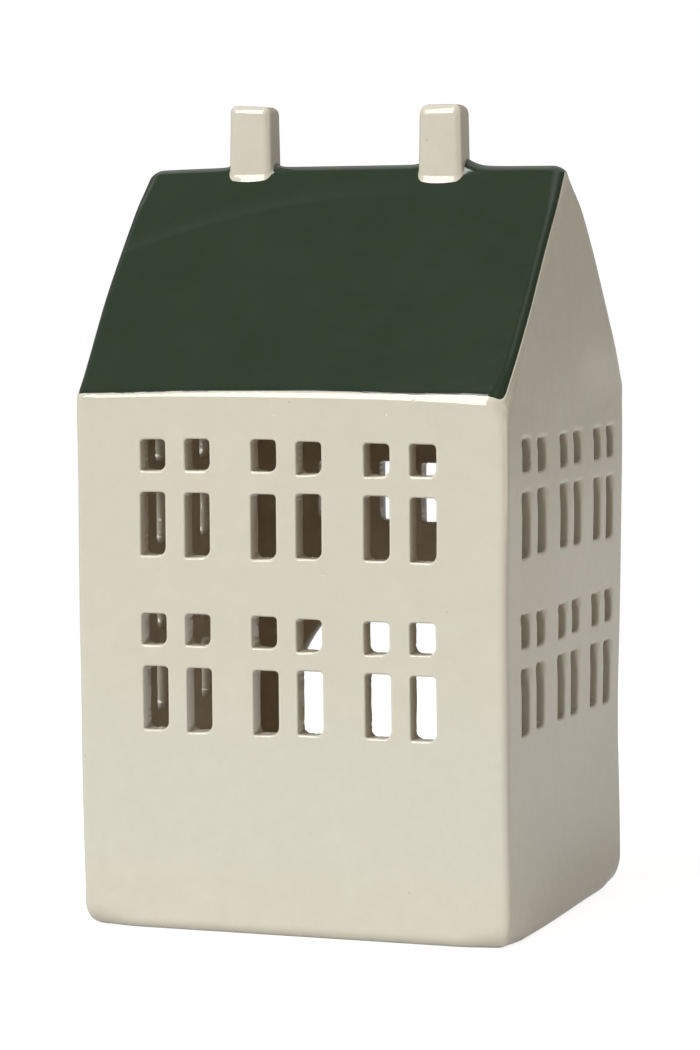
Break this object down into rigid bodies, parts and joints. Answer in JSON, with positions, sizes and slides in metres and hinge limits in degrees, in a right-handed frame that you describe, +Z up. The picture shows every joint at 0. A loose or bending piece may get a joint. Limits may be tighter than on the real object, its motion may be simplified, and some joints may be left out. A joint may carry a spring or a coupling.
{
  "type": "tealight house",
  "caption": "Glazed stoneware tealight house: gabled, with pierced window panes, green roof, ridge chimneys, an arched rear doorway and a tealight that slides out.",
  "frame": {"origin": "centre of the flat base, on the surface that the house stands on", "axes": "+Z up, front wall towards -Y, rear doorway towards +Y, right gable towards +X"},
  "size_m": [0.1068, 0.093, 0.1942],
  "materials": {
    "wall_glaze": "glossy warm off-white glaze",
    "roof_glaze": "glossy dark green glaze",
    "cup_aluminium": "bright drawn sheet",
    "candle_wax": "white paraffin wax, satin",
    "wick_cotton": "waxed braided cotton",
    "tab_steel": "tinned sheet"
  },
  "bodies": {
    "house": {"front_wall": "wall_glaze", "rear_wall": "wall_glaze", "left_gable_wall": "wall_glaze", "right_gable_wall": "wall_glaze", "floor_slab": "wall_glaze", "front_roof_slab": "roof_glaze", "rear_roof_slab": "roof_glaze", "left_chimney": "wall_glaze", "right_chimney": "wall_glaze"},
    "tealight": {"tealight_cup": "cup_aluminium", "tealight_wax": "candle_wax", "tealight_wick": "wick_cotton", "wick_tab": "tab_steel"}
  },
  "joints": [
    {"name": "tealight_slide", "type": "slide", "parent": "house", "child": "tealight", "axis": [0, 1, 0], "range_m": [0, 0.08]}
  ]
}
